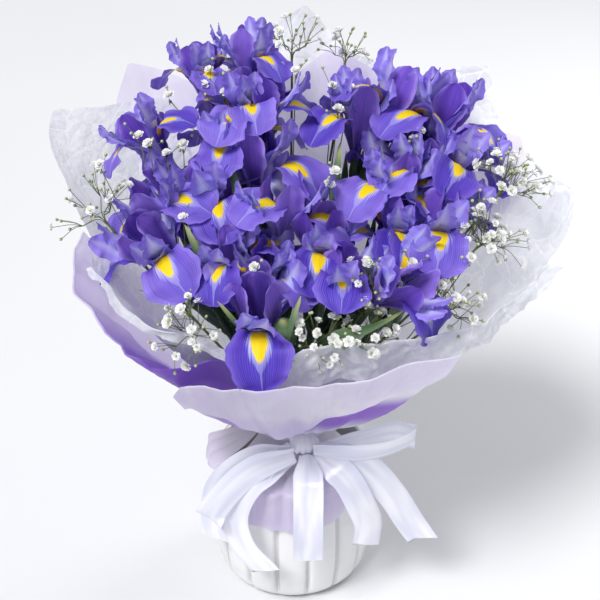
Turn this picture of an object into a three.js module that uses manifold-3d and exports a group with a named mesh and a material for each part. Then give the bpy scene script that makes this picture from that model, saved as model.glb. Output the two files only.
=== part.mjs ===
// A hand-tied bouquet of irises and gypsophila, wrapped in tissue and film, tied with satin ribbon
// and standing in a fluted ceramic vase. Millimetres, +Z up, origin at the centre of the vase's base,
// +Y towards the back of the bouquet. Every flower grows with its own stem as one solid.
import * as THREE from 'three';
import Module from 'manifold-3d';
import { mergeVertices } from 'three/addons/utils/BufferGeometryUtils.js';

const wasm = await Module();
wasm.setup();

// ---- driving dimensions -------------------------------------------------------------------------
const GAP = 0.35; // clearance between touching pieces
const VASE = { foot: 57, belly: 68, rim: 65, height: 120, wall: 5, floor: 6, flutes: 16, groove: 3.2 };
const NECK = { low: 147, high: 164 }; // the stretch where tie and ribbon hold the stems
const STEM = { iris: 3.1, bud: 2.5, spray: 1.5, sides: 5, spread: 1.75, level: 36, last: 0.93 };
const TIE = { thickness: 1.4, low: 150, high: 160 };
const SHEET = { thickness: 0.8, pitch: 1.7 }; // pitch: radial step from layer to layer
const RIBBON = { width: 24, thickness: 0.7 };
// A head: where the signal is from its base, the point the heads fan out from, how far they right
// themselves from that fan, the straight stretch of stem below, and the throat that joins the petals.
const HEAD = { signalOut: 27, signalUp: 44, fan: 120, upright: 0.45, straight: 26 };
const THROAT = { low: -14, high: 18, radius: 4.4 };
const BUD_RADII = [7.5, 7.5, 15];
const BRANCH = { count: 4, radius: 0.8, bloom: 4, lean: 0.25, spread: 0.85, turn: 2.4 };
// How the stems make way: rounds of drawing in and of letting go at the neck, rounds at each level.
const PACKING = { start: 0.4, pull: 0.985, drawing: 450, letting: 150, level: 200, room: 2.5 * GAP };
const PETAL_THICKNESS = 1.4;
// The room each head has among the others: its reach round a core of this height.
const CELL = { iris: 46, bud: 12, spray: 22, height: 46, low: 6 };

// ---- materials ----------------------------------------------------------------------------------
const paint = (color, roughness) => new THREE.MeshStandardMaterial({ color, roughness, metalness: 0 });
const LOOK = {
  ceramic: paint(0xf2f2f0, 0.25),
  iris: paint(0x5a46be, 0.55),
  bud: paint(0x6f8f5a, 0.6),
  spray: paint(0xeeeeda, 0.8),
  tissue: paint(0xe8ebf2, 0.85),
  film: paint(0xd8c4ee, 0.4),
  ribbon: paint(0xf0f0f8, 0.3),
  twine: paint(0xb9a77c, 0.9),
};

// ---- vectors and shapes -------------------------------------------------------------------------
const V = (x, y, z) => new THREE.Vector3(x, y, z);
const UP = V(0, 0, 1);
const polar = (degrees, radius, z) => {
  const angle = THREE.MathUtils.degToRad(degrees);
  return V(radius * Math.cos(angle), radius * Math.sin(angle), z);
};
const closed = (points, triangles) => {
  const geometry = new THREE.BufferGeometry();
  const positions = points.flatMap((p) => [p.x, p.y, p.z]);
  geometry.setAttribute('position', new THREE.Float32BufferAttribute(positions, 3));
  geometry.setIndex(triangles);
  return geometry;
};

// A closed skin over a row of rings, each ring a loop of as many points.
function loft(rings) {
  const sides = rings[0].length;
  const triangles = [];
  for (let i = 0; i < rings.length - 1; i += 1) {
    for (let j = 0; j < sides; j += 1) {
      const a = i * sides + j;
      const b = i * sides + ((j + 1) % sides);
      triangles.push(a, b, b + sides, a, b + sides, a + sides);
    }
  }
  const last = (rings.length - 1) * sides;
  for (let j = 1; j < sides - 1; j += 1) {
    triangles.push(0, j + 1, j, last, last + j, last + j + 1);
  }
  return closed(rings.flat(), triangles);
}

// A closed sheet between two grids of points, rows of equal length: the front and the back face.
function slab(front, back) {
  const rows = front.length;
  const columns = front[0].length;
  const offset = rows * columns;
  const at = (i, j) => i * columns + j;
  const triangles = [];
  const quad = (a, b, c, d) => triangles.push(a, b, c, a, c, d);
  for (let i = 0; i < rows - 1; i += 1) {
    for (let j = 0; j < columns - 1; j += 1) {
      const [a, b, c, d] = [at(i, j), at(i, j + 1), at(i + 1, j + 1), at(i + 1, j)];
      quad(a, b, c, d);
      quad(a + offset, d + offset, c + offset, b + offset);
    }
  }
  const edge = [];
  for (let j = 0; j < columns - 1; j += 1) edge.push(at(0, j));
  for (let i = 0; i < rows - 1; i += 1) edge.push(at(i, columns - 1));
  for (let j = columns - 1; j > 0; j -= 1) edge.push(at(rows - 1, j));
  for (let i = rows - 1; i > 0; i -= 1) edge.push(at(i, 0));
  edge.forEach((a, k) => {
    const b = edge[(k + 1) % edge.length];
    quad(b, a, a + offset, b + offset);
  });
  return closed([...front.flat(), ...back.flat()], triangles);
}

function solid(geometry) {
  const bare = geometry.clone();
  bare.deleteAttribute('normal');
  bare.deleteAttribute('uv');
  const merged = mergeVertices(bare, 1e-4);
  const mesh = { numProp: 3, vertProperties: merged.attributes.position.array };
  mesh.triVerts = new Uint32Array(merged.index.array);
  const made = new wasm.Manifold(new wasm.Mesh(mesh));
  if (made.volume() > 0) return made;
  for (let i = 0; i < mesh.triVerts.length; i += 3) {
    [mesh.triVerts[i], mesh.triVerts[i + 1]] = [mesh.triVerts[i + 1], mesh.triVerts[i]];
  }
  return new wasm.Manifold(new wasm.Mesh(mesh));
}
const join = (solids) => solids.reduce((sum, next) => sum.add(next));
const largest = (body) => body.decompose().reduce((a, b) => (a.volume() > b.volume() ? a : b));
const near = (a, b) => {
  const [p, q] = [a.boundingBox(), b.boundingBox()];
  return [0, 1, 2].every((k) => p.min[k] < q.max[k] && q.min[k] < p.max[k]);
};
const trim = (body, others) => others.filter((o) => near(body, o)).reduce((a, o) => a.subtract(o), body);

// Cuts a head back to its own room: a plane stands between its core and each near neighbour's core.
function crop(body, cell, others) {
  return others.reduce((rest, other) => {
    const [here, there] = [cell.core.getCenter(V(0, 0, 0)), V(0, 0, 0)];
    for (let k = 0; k < 40; k += 1) {
      other.core.closestPointToPoint(here, true, there);
      cell.core.closestPointToPoint(there, true, here);
    }
    const distance = here.distanceTo(there);
    if (other === cell || distance > cell.reach + other.reach) return rest;
    const normal = here.clone().sub(there).normalize();
    const share = (distance * other.reach) / (cell.reach + other.reach) + GAP;
    return rest.trimByPlane(normal.toArray(), there.addScaledVector(normal, share).dot(normal));
  }, body);
}

function geometryOf(body) {
  const { vertProperties, triVerts } = largest(body.simplify(0.25)).getMesh();
  const geometry = new THREE.BufferGeometry();
  geometry.setAttribute('position', new THREE.Float32BufferAttribute(vertProperties, 3));
  geometry.setIndex([...triVerts]);
  return geometry;
}

const bouquet = new THREE.Group();
function place(name, body, look) {
  const mesh = new THREE.Mesh(geometryOf(body), look);
  mesh.name = name;
  bouquet.add(mesh);
}

// A curve that spends as much of its length on each span between two of its points.
class Route extends THREE.CatmullRomCurve3 {
  getUtoTmapping(share) {
    return share;
  }
}
// A round stalk through its points, as a prism with a ring at each point.
function stalk(points, radius, sides = STEM.sides) {
  const outline = new THREE.Shape();
  for (let k = 0; k < sides; k += 1) {
    const angle = (2 * Math.PI * k) / sides;
    const [x, y] = [radius * Math.cos(angle), radius * Math.sin(angle)];
    if (k === 0) outline.moveTo(x, y);
    else outline.lineTo(x, y);
  }
  const extrudePath = new Route(points, false, 'centripetal');
  const steps = points.length - 1;
  return solid(new THREE.ExtrudeGeometry(outline, { steps, extrudePath, curveSegments: 1 }));
}

// ---- vase ---------------------------------------------------------------------------------------
function vase() {
  const { foot, belly, rim, height, wall, floor, flutes, groove } = VASE;
  const profile = [
    [0, 0], [foot, 0], [foot + 6, 5], [belly - 1, 20], [belly, 50], [belly - 0.5, 85], [rim, height],
    [rim - wall, height], [belly - wall - 3, 85], [belly - wall - 3, 30], [foot - 4, floor], [0, floor],
  ];
  const points = profile.map(([r, z]) => new THREE.Vector2(r, z));
  const turned = new THREE.LatheGeometry(points, flutes * 2).rotateX(Math.PI / 2);
  const position = turned.attributes.position;
  for (let i = 0; i < position.count; i += 1) {
    const [x, y, z] = [position.getX(i), position.getY(i), position.getZ(i)];
    const radius = Math.hypot(x, y);
    const outside = radius > foot + 1 && radius > belly - wall - 2;
    if (outside) {
      const wave = Math.abs(Math.cos((Math.atan2(y, x) * flutes) / 2));
      const pull = 1 - (groove * (1 - wave)) / radius;
      position.setXYZ(i, x * pull, y * pull, z);
    }
  }
  return solid(turned);
}

// ---- where the flowers are ----------------------------------------------------------------------
// Each iris: the yellow signal on its leading fall (x, y, z), the way that fall faces, its size.
const IRISES = [
  [-99, 28, 402, 335, 0.9, -1.2], [-66, 60, 431, 285, 0.9], [-21, 72, 440, 312, 1.0],
  [-30, 25, 417, 285, 1.0],
  [-52, 18, 391, 250, 1.0], [-4, 9, 380, 325, 1.05], [0, 42, 411, 355, 1.0], [34, 36, 405, 222, 1.0],
  [62, 54, 422, 205, 1.05, -1.0], [95, 40, 408, 213, 1.05, 0.2], [124, 8, 378, 252, 1.0, -0.2],
  [83, 4, 374, 235, 0.95], [63, -6, 368, 235, 1.0], [110, -38, 340, 274, 1.1], [77, -36, 340, 262, 0.9],
  [93, -84, 302, 320, 1.0, -0.4], [22, -48, 333, 268, 0.95], [34, -76, 310, 265, 1.0],
  [18, -22, 352, 340, 1.05], [-4, -58, 318, 310, 0.85], [-57, -20, 355, 282, 1.1],
  [-84, -15, 359, 325, 1.0, -0.7], [-93, -54, 326, 285, 1.1, -0.3], [-53, -58, 324, 255, 0.95],
  [-24, -97, 294, 268, 1.15],
];
// The green bud, and the hub of each gypsophila spray.
const BUD = V(-5, -82, 286);
const SPRAYS = [
  [-142, -2, 336, 32], [-70, -82, 284, 26], [0, 84, 436, 26], [42, 88, 430, 24], [158, 6, 356, 30],
  [140, -24, 326, 28], [112, -62, 290, 24], [20, -84, 270, 24], [52, -84, 276, 24], [59, -62, 308, 20],
];

// ---- how the stems run --------------------------------------------------------------------------
// Pushes the members of a level apart until none is nearer to another than their two radii.
function spreadOut(level, pull = 1) {
  for (const s of level) {
    s.x *= pull;
    s.y *= pull;
    for (const t of level) {
      const apart = s.radius + t.radius + PACKING.room;
      const [dx, dy] = [t.x - s.x, t.y - s.y];
      const distance = Math.hypot(dx, dy) || 1;
      if (s !== t && distance < apart) {
        const push = (apart - distance) / (2 * distance);
        s.x -= dx * push;
        s.y -= dy * push;
        t.x += dx * push;
        t.y += dy * push;
      }
    }
  }
}
// At the neck the stems are pressed together in the order of their heads: drawn in, then let go.
function pack(tops) {
  const { start, pull, drawing, letting } = PACKING;
  const spots = tops.map(({ point, radius }) => ({ x: point.x * start, y: point.y * start, radius }));
  for (let round = 0; round < drawing; round += 1) spreadOut(spots, pull);
  for (let round = 0; round < letting; round += 1) spreadOut(spots);
  return spots;
}

function headFrame([x, y, z, facing, size, upright = HEAD.upright]) {
  const signal = V(x, y, z);
  const axis = signal.clone().sub(V(0, 0, HEAD.fan)).normalize().lerp(UP, upright).normalize();
  const side = axis.clone().cross(polar(facing, 1, 0)).normalize();
  const out = side.clone().cross(axis);
  const base = signal.clone().addScaledVector(out, -HEAD.signalOut * size);
  base.addScaledVector(axis, -HEAD.signalUp * size);
  return { base, axis, out, size };
}
const heads = IRISES.map(headFrame);
const budAxis = BUD.clone().sub(V(0, 0, HEAD.fan)).normalize();
const budFoot = BUD.clone().addScaledVector(budAxis, -CELL.bud);
const hubs = SPRAYS.map(([x, y, z]) => V(x, y, z));
const crowns = [
  ...heads.map(({ base, axis }) => ({ point: base, axis, radius: STEM.iris, cell: CELL.iris })),
  { point: budFoot, axis: budAxis, radius: STEM.bud, cell: CELL.bud },
  ...hubs.map((point) => {
    const axis = point.clone().sub(V(0, 0, HEAD.fan)).normalize();
    return { point, axis, radius: STEM.spray, cell: CELL.spray };
  }),
];
const spots = pack(crowns);
const bundleRadius = Math.max(...spots.map((s) => Math.hypot(s.x, s.y) + s.radius));

// Above the neck each stem leans out to its head, and at each level the stems make way for each other.
const tops = crowns.map(({ point, axis }) => point.clone().addScaledVector(axis, -HEAD.straight));
const highest = Math.max(...tops.map(({ z }) => z));
const bends = crowns.map(() => []);
for (let z = NECK.high + STEM.level; z < highest; z += STEM.level) {
  const level = crowns.flatMap(({ radius }, index) => {
    const top = tops[index];
    const share = (z - NECK.high) / (top.z - NECK.high);
    const { x, y } = spots[index];
    if (share > STEM.last) return [];
    return [{ index, x: x + (top.x - x) * share, y: y + (top.y - y) * share, radius: radius + GAP }];
  });
  for (let round = 0; round < PACKING.level; round += 1) spreadOut(level);
  level.forEach(({ index, x, y }) => bends[index].push(V(x, y, z)));
}
function route(index) {
  const { x, y } = spots[index];
  const foot = V(x * STEM.spread, y * STEM.spread, VASE.floor + GAP);
  return [foot, V(x, y, NECK.low), V(x, y, NECK.high), ...bends[index], tops[index], crowns[index].point];
}
const stem = (index, extra = 0) => stalk(route(index), crowns[index].radius + extra);
const cells = crowns.map(({ point, axis, cell }) => {
  const height = cell === CELL.iris ? CELL.height : CELL.low;
  return { core: new THREE.Line3(point, point.clone().addScaledVector(axis, height)), reach: cell };
});

// ---- iris heads ---------------------------------------------------------------------------------
// Outlines in the plane of a petal: outward, upward, half width.
const FALL = [[2.5, 0, 1.5], [19, 40, 12], [39, 41, 22], [56, 23, 5]];
const STANDARD = [[2, 6, 1.5], [17, 42, 11], [16, 70, 1.5]];
const STYLE = [[2, 14, 1.5], [18, 50, 8], [22, 66, 3]];

function petal(outline, head, turn, cup) {
  const out = head.out.clone().applyAxisAngle(head.axis, THREE.MathUtils.degToRad(turn));
  const side = head.axis.clone().cross(out);
  const spine = outline.map(([o, u]) =>
    head.base.clone().addScaledVector(out, o * head.size).addScaledVector(head.axis, u * head.size));
  const rings = outline.map(([, , halfWidth], i) => {
    const along = spine[Math.min(i + 1, spine.length - 1)].clone().sub(spine[Math.max(i - 1, 0)]).normalize();
    const normal = along.clone().cross(side).normalize();
    const w = halfWidth * head.size;
    const half = PETAL_THICKNESS / 2;
    const droop = cup * w;
    const point = (s, n) => spine[i].clone().addScaledVector(side, s).addScaledVector(normal, n);
    return [point(-w, -droop - half), point(0, half), point(w, -droop - half)];
  });
  return solid(loft(rings));
}
function flower(head) {
  const parts = [0, 120, 240].flatMap((turn) => [
    petal(FALL, head, turn, 0.12),
    petal(STYLE, head, turn, 0.3),
    petal(STANDARD, head, turn + 60, 0.1),
  ]);
  const ends = [THROAT.low, THROAT.high].map((up) => head.base.clone().addScaledVector(head.axis, up));
  parts.push(stalk(ends, THROAT.radius));
  return join(parts);
}

// ---- wrapping -----------------------------------------------------------------------------------
// The bowl that the wrapping makes: azimuth, radius and height of a line round it.
const BOWL = [
  [0, 206, 322], [8, 219, 347], [17, 210, 352], [28, 200, 370], [38, 196, 400], [48, 178, 408],
  [60, 152, 414], [75, 142, 434], [85, 141, 442], [100, 140, 438], [115, 143, 420], [128, 172, 390],
  [143, 202, 381], [155, 210, 388], [163, 192, 367], [172, 171, 346], [184, 156, 315], [205, 139, 300],
  [225, 120, 288], [245, 103, 276], [262, 97, 276], [274, 96, 284], [303, 110, 288], [323, 136, 288],
  [341, 166, 288], [349, 182, 294], [360, 206, 322],
];
// Each sheet: its layer from inside out, how early it bellies, how far it flares off the bowl, its rim
// as azimuth and height, and its tail below the tie, if any, as azimuth, radius and height.
const SHEETS = {
  tissue_left: {
    layer: 0, belly: 0.85, flare: 0, look: LOOK.tissue,
    rim: [[128, 386], [143, 381], [155, 390], [163, 368], [172, 346], [184, 315], [205, 300], [225, 288],
      [245, 276], [262, 270]],
  },
  tissue_right: {
    layer: 1, belly: 0.85, flare: 4, look: LOOK.tissue,
    rim: [[255, 272], [274, 284], [303, 288], [323, 288], [341, 288], [349, 294], [361, 325], [368, 347],
      [377, 349], [387, 356], [394, 392], [398, 415], [406, 410]],
  },
  film_back_right: {
    layer: 2, belly: 0.82, flare: 10, look: LOOK.film,
    rim: [[18, 332], [22, 347], [26, 366], [33, 368], [45, 386], [60, 400], [76, 427], [85, 410], [98, 396]],
  },
  film_back_left: {
    layer: 2, belly: 0.82, flare: 10, look: LOOK.film,
    rim: [[116, 392], [122, 397], [128, 405], [133, 410], [138, 384], [142, 354]],
  },
  tissue_back: {
    layer: 3, belly: 0.76, flare: 16, look: LOOK.tissue,
    rim: [[50, 396], [61, 407], [71, 419], [78, 433], [86, 456], [100, 435], [112, 415], [126, 392]],
    tail: [[62, 76, 96], [90, 78, 82], [118, 76, 94]],
  },
  film_left: {
    layer: 1, belly: 0.68, flare: 33, look: LOOK.film,
    rim: [[164, 300], [172, 297], [181, 293], [191, 279], [199, 266], [212, 262], [226, 262], [240, 258],
      [252, 256]],
    tail: [[168, 76, 100], [190, 80, 112], [212, 76, 118]],
  },
  film_front: {
    layer: 2, belly: 0.42, flare: 35, look: LOOK.film,
    rim: [[220, 248], [231, 255], [243, 257], [260, 260], [275, 260], [290, 262], [298, 274], [307, 282],
      [316, 286]],
    tail: [[236, 74, 88], [262, 75, 87], [286, 75, 88], [300, 75, 98], [312, 76, 112]],
  },
};
const RISE = [0, 0.06, 0.2, 0.45, 0.72, 1]; // where the rows of a sheet lie between neck and rim
const neckRadius = (layer) => bundleRadius + TIE.thickness + 2 * GAP + layer * SHEET.pitch;

function along(stops, azimuth) {
  const k = Math.max(1, stops.findIndex(([a]) => a >= azimuth));
  const [from, to] = [stops[k - 1], stops[k]];
  const share = (azimuth - from[0]) / (to[0] - from[0]);
  return from.map((value, i) => value + share * (to[i] - value));
}
function azimuths(stops) {
  const list = [];
  stops.slice(0, -1).forEach(([a], k) => {
    const parts = Math.max(1, Math.round((stops[k + 1][0] - a) / 16));
    for (let p = 0; p < parts; p += 1) list.push(a + ((stops[k + 1][0] - a) * p) / parts);
  });
  list.push(stops.at(-1)[0]);
  return list;
}
// One upright line of a sheet at an azimuth, from the tie to its rim.
function sheetLine({ layer, belly, flare, rim }, azimuth) {
  const neck = neckRadius(layer);
  const [, reach, level] = along(BOWL, azimuth % 360);
  const [, top] = along(rim, azimuth);
  const line = RISE.map((share) => {
    const z = NECK.high + (top - NECK.high) * share;
    const rise = (z - NECK.high) / (level - NECK.high);
    return polar(azimuth, neck + (reach - neck) * rise ** belly + flare * rise, z);
  });
  return [polar(azimuth, neck, NECK.low), ...line];
}
function tailLine({ layer, tail }, azimuth) {
  const neck = neckRadius(layer);
  const [, radius, height] = along(tail, azimuth);
  const elbow = VASE.height + 4;
  return [
    polar(azimuth, radius, height),
    polar(azimuth, VASE.rim + 6 + layer * 0.6, elbow),
    polar(azimuth, neck + 5, NECK.low - 8),
  ];
}
function thicken(grid, extra) {
  const shifted = (amount) => grid.map((line, i) => line.map((p, j) => {
    const u = grid[Math.min(i + 1, grid.length - 1)][j].clone().sub(grid[Math.max(i - 1, 0)][j]);
    const v = line[Math.min(j + 1, line.length - 1)].clone().sub(line[Math.max(j - 1, 0)]);
    return p.clone().addScaledVector(u.cross(v).normalize(), amount);
  }));
  return solid(slab(shifted(-extra), shifted(SHEET.thickness + extra)));
}
function sheet(spec, extra = 0) {
  const { rim, tail } = spec;
  const upper = azimuths(rim).map((a) => sheetLine(spec, a));
  const top = thicken(upper, extra);
  if (!tail) return top;
  const neck = neckRadius(spec.layer);
  // the tail's upper edge lies inside the thickness of the sheet it hangs from
  const lower = azimuths(tail).map((a) => [...tailLine(spec, a), polar(a, neck + 0.45, NECK.low + 4)]);
  return top.add(thicken(lower, extra));
}

// ---- ribbon -------------------------------------------------------------------------------------
const bandRadius = neckRadius(4);
const KNOT = { at: V(9, -42, 155), radii: [12, 10.5, 8] };
// Each strip: its middle line, and the way its width lies at its start and at its end.
const STRIPS = {
  tail_centre: {
    across: [[1, 0, 0], [1, 0, 0]],
    line: [[12, -50, 148], [13, -76, 136], [13, -86, 108], [13, -87, 68]],
  },
  tail_right: {
    across: [[0.93, 0.1, 0.35], [0.93, 0.2, 0.2]],
    line: [[20, -50, 148], [42, -68, 140], [56, -70, 112], [63, -66, 88], [62, -64, 64]],
  },
  tail_far_right: {
    across: [[0.5, 0.1, 0.8], [0.8, 0.1, 0.55]],
    line: [[18, -50, 154], [54, -60, 148], [82, -60, 114], [97, -59, 86], [109, -59, 66]],
  },
  tail_left: {
    across: [[-0.6, 0, 0.8], [-0.98, 0.2, 0]],
    line: [[-2, -51, 153], [-38, -60, 148], [-60, -57, 118], [-65, -54, 90], [-66, -54, 62]],
  },
  tail_left_centre: {
    across: [[0.8, -0.1, -0.6], [0.9, -0.2, 0.3]],
    line: [[0, -52, 148], [-34, -74, 138], [-47, -77, 108], [-41, -80, 78], [-23, -84, 54]],
  },
  loop_right: {
    across: [[-0.1, -0.35, 0.93], [-0.1, -0.35, 0.93]],
    line: [[18, -53, 153], [54, -61, 157], [84, -59, 162], [97, -51, 164], [88, -43, 163], [56, -46, 158],
      [18, -48, 154]],
  },
  loop_left: {
    across: [[-0.72, -0.1, 0.68], [-0.72, -0.1, 0.68]],
    line: [[2, -54, 152], [-34, -72, 148], [-57, -80, 126], [-66, -80, 108], [-62, -73, 102], [-50, -74, 122],
      [-24, -67, 148], [0, -49, 153]],
  },
};
function strip({ across, line }) {
  const curve = new Route(line.map((p) => V(...p)), false, 'centripetal');
  const steps = (line.length - 1) * 2;
  const [start, end] = across.map((way) => V(...way));
  const [front, back] = [[], []];
  for (let k = 0; k <= steps; k += 1) {
    const middle = curve.getPoint(k / steps);
    const half = start.clone().lerp(end, k / steps).setLength(RIBBON.width / 2);
    const normal = curve.getTangent(k / steps).cross(half).setLength(RIBBON.thickness / 2);
    const row = [-1, 1].map((s) => middle.clone().addScaledVector(half, s));
    front.push(row.map((p) => p.clone().add(normal)));
    back.push(row.map((p) => p.clone().sub(normal)));
  }
  return solid(slab(front, back));
}
function ring(inner, thickness, low, high, segments) {
  const outer = inner + thickness;
  const corners = [[inner, low], [outer, low], [outer, high], [inner, high], [inner, low]];
  const points = corners.map(([r, z]) => new THREE.Vector2(r, z));
  return solid(new THREE.LatheGeometry(points, segments).rotateX(Math.PI / 2));
}

// ---- gypsophila ---------------------------------------------------------------------------------
// Thin branches fan out of the hub by the golden angle, each with one round bloom at its tip.
function spray(index) {
  const hub = hubs[index];
  const reach = SPRAYS[index][3];
  const axis = crowns[heads.length + 1 + index].axis;
  const side = axis.clone().cross(V(1, 0, 0)).normalize();
  const parts = [];
  for (let k = 0; k < BRANCH.count; k += 1) {
    const lean = BRANCH.lean + BRANCH.spread * Math.sqrt(k / BRANCH.count);
    const way = axis.clone().applyAxisAngle(side, lean).applyAxisAngle(axis, k * BRANCH.turn + index);
    const tip = hub.clone().addScaledVector(way, reach * (0.8 + 0.2 * Math.cos(k * 1.7)));
    parts.push(stalk([hub.clone().addScaledVector(axis, -3), tip], BRANCH.radius, 3));
    const bloom = new THREE.OctahedronGeometry(BRANCH.bloom, 0).translate(tip.x, tip.y, tip.z);
    parts.push(solid(bloom));
  }
  return join(parts);
}

// ---- the bouquet --------------------------------------------------------------------------------
place('vase', vase(), LOOK.ceramic);

const sheets = Object.entries(SHEETS).map(([name, spec]) => ({ name, look: spec.look, body: sheet(spec) }));
sheets.forEach(({ name, body, look }) => place(name, body, look));
place('stem_tie', ring(bundleRadius + GAP, TIE.thickness, TIE.low, TIE.high, 16), LOOK.twine);

const knot = new THREE.SphereGeometry(1, 12, 8).scale(...KNOT.radii).translate(...KNOT.at);
const band = ring(bandRadius, RIBBON.thickness, NECK.low + 4, NECK.high - 1, 24).add(solid(knot));
place('ribbon_bow', join([band, ...Object.values(STRIPS).map(strip)]), LOOK.ribbon);

const stems = crowns.map((_, index) => stem(index));
const keepOut = Object.values(SHEETS).map((spec) => sheet(spec, GAP));
const fatStems = crowns.map((_, index) => stem(index, GAP));
heads.forEach((head, index) => {
  const others = fatStems.filter((_, other) => other !== index);
  const bloom = trim(crop(flower(head), cells[index], cells), [...others, ...keepOut]);
  place(`iris_${String(index + 1).padStart(2, '0')}`, stems[index].add(bloom), LOOK.iris);
});

const budIndex = heads.length;
const budShape = new THREE.SphereGeometry(1, 8, 6).scale(...BUD_RADII);
budShape.applyQuaternion(new THREE.Quaternion().setFromUnitVectors(UP, budAxis)).translate(...BUD);
const budRoom = crop(solid(budShape), cells[budIndex], cells);
const budBody = trim(budRoom, [...fatStems.filter((_, k) => k !== budIndex), ...keepOut]);
place('iris_bud', stems[budIndex].add(budBody), LOOK.bud);

hubs.forEach((_, index) => {
  const own = heads.length + 1 + index;
  const others = fatStems.filter((_, other) => other !== own);
  const body = trim(crop(spray(index), cells[own], cells), [...others, ...keepOut]);
  place(`gypsophila_${String(index + 1).padStart(2, '0')}`, stems[own].add(body), LOOK.spray);
});

export default bouquet;
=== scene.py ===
"""Looks of the irises in their vase: millimetres in the tables, metres in Blender, the CAD's own frame."""
import math

import bpy
import numpy as np
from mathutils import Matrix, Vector, noise


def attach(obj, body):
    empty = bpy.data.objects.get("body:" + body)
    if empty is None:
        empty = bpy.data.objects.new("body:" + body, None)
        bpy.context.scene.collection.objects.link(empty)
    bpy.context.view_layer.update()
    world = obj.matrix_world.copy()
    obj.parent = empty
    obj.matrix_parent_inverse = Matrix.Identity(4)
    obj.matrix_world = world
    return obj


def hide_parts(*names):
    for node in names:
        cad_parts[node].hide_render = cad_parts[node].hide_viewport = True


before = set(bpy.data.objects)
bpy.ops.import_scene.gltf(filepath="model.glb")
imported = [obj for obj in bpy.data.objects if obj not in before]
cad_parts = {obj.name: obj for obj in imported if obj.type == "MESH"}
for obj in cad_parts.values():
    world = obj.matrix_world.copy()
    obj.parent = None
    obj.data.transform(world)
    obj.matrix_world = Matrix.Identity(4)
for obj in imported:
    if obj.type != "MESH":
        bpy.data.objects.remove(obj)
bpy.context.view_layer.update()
MM = 0.001

# ---- dimensions and places, the same as the CAD's ----
GAP = 0.35
VASE = dict(foot=57, belly=68, rim=65, height=120, wall=5, floor=6, flutes=16, groove=3.2)
NECK_LOW, NECK_HIGH = 147, 164  # the stretch where tie and ribbon hold the stems
STEM = dict(iris=3.1, bud=2.5, spray=1.5, spread=1.75, level=36, last=0.93)
TIE = dict(thickness=1.4, low=150, high=160)
PITCH = 1.7  # radial step from one layer of the wrap to the next
RIBBON = 24
HEAD = dict(out=27, up=44, fan=120, upright=0.45, straight=26)
BUD_CELL = 12
PACKING = dict(start=0.4, pull=0.985, drawing=450, letting=150, level=200, room=2.5 * GAP)
# each iris: where its signal is, the way that fall points, its size and, if unusual, how upright it stands
IRISES = [
    (-99, 28, 402, 335, 0.9, -1.2), (-66, 60, 431, 285, 0.9), (-21, 72, 440, 312, 1.0),
    (-30, 25, 417, 285, 1.0), (-52, 18, 391, 250, 1.0), (-4, 9, 380, 325, 1.05), (0, 42, 411, 355, 1.0),
    (34, 36, 405, 222, 1.0), (62, 54, 422, 205, 1.05, -1.0), (95, 40, 408, 213, 1.05, 0.2),
    (124, 8, 378, 252, 1.0, -0.2), (83, 4, 374, 235, 0.95), (63, -6, 368, 235, 1.0),
    (110, -38, 340, 274, 1.1), (77, -36, 340, 262, 0.9), (93, -84, 302, 320, 1.0, -0.4),
    (22, -48, 333, 268, 0.95), (34, -76, 310, 265, 1.0), (18, -22, 352, 340, 1.05),
    (-4, -58, 318, 310, 0.85), (-57, -20, 355, 282, 1.1), (-84, -15, 359, 325, 1.0, -0.7),
    (-93, -54, 326, 285, 1.1, -0.3), (-53, -58, 324, 255, 0.95), (-24, -97, 294, 268, 1.15),
]
BUD = (-5, -82, 286)
# each spray: its hub, how far it reaches, and its arms, then how many open blooms and twigs an arm has
SPRAYS = [
    (-142, -2, 336, 32, 6, 1, 5), (-70, -82, 284, 26, 8, 2, 5), (0, 84, 436, 26, 6, 1, 4),
    (42, 88, 430, 24, 6, 1, 4), (158, 6, 356, 30, 11, 3, 5), (140, -24, 326, 28, 11, 3, 5),
    (112, -62, 290, 24, 8, 2, 5), (20, -84, 270, 24, 8, 2, 5), (52, -84, 276, 24, 8, 2, 5),
    (59, -62, 308, 20, 8, 2, 5),
]
# the wrapping's rim: azimuth, radius and height
BOWL = [
    (0, 198, 318), (8, 217, 347), (17, 211, 354), (28, 200, 370), (38, 196, 400), (48, 178, 408),
    (60, 152, 414), (75, 142, 434), (85, 141, 442), (100, 140, 438), (115, 143, 420), (128, 172, 390),
    (143, 202, 381), (155, 210, 388), (163, 192, 367), (172, 171, 346), (184, 156, 315), (205, 139, 300),
    (225, 120, 288), (245, 103, 276), (262, 97, 276), (274, 96, 284), (303, 110, 288), (323, 136, 288),
    (341, 166, 288), (349, 176, 292), (360, 198, 318),
]

# ---- what the looks add ----
SEEDS = dict(iris=100, bud=77, spray=500)
# how tall blooms open against the CAD's, and those along the top that open less tall
OPEN, SHORTER = 0.93, {1: 0.80, 2: 0.78, 3: 0.84}
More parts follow.
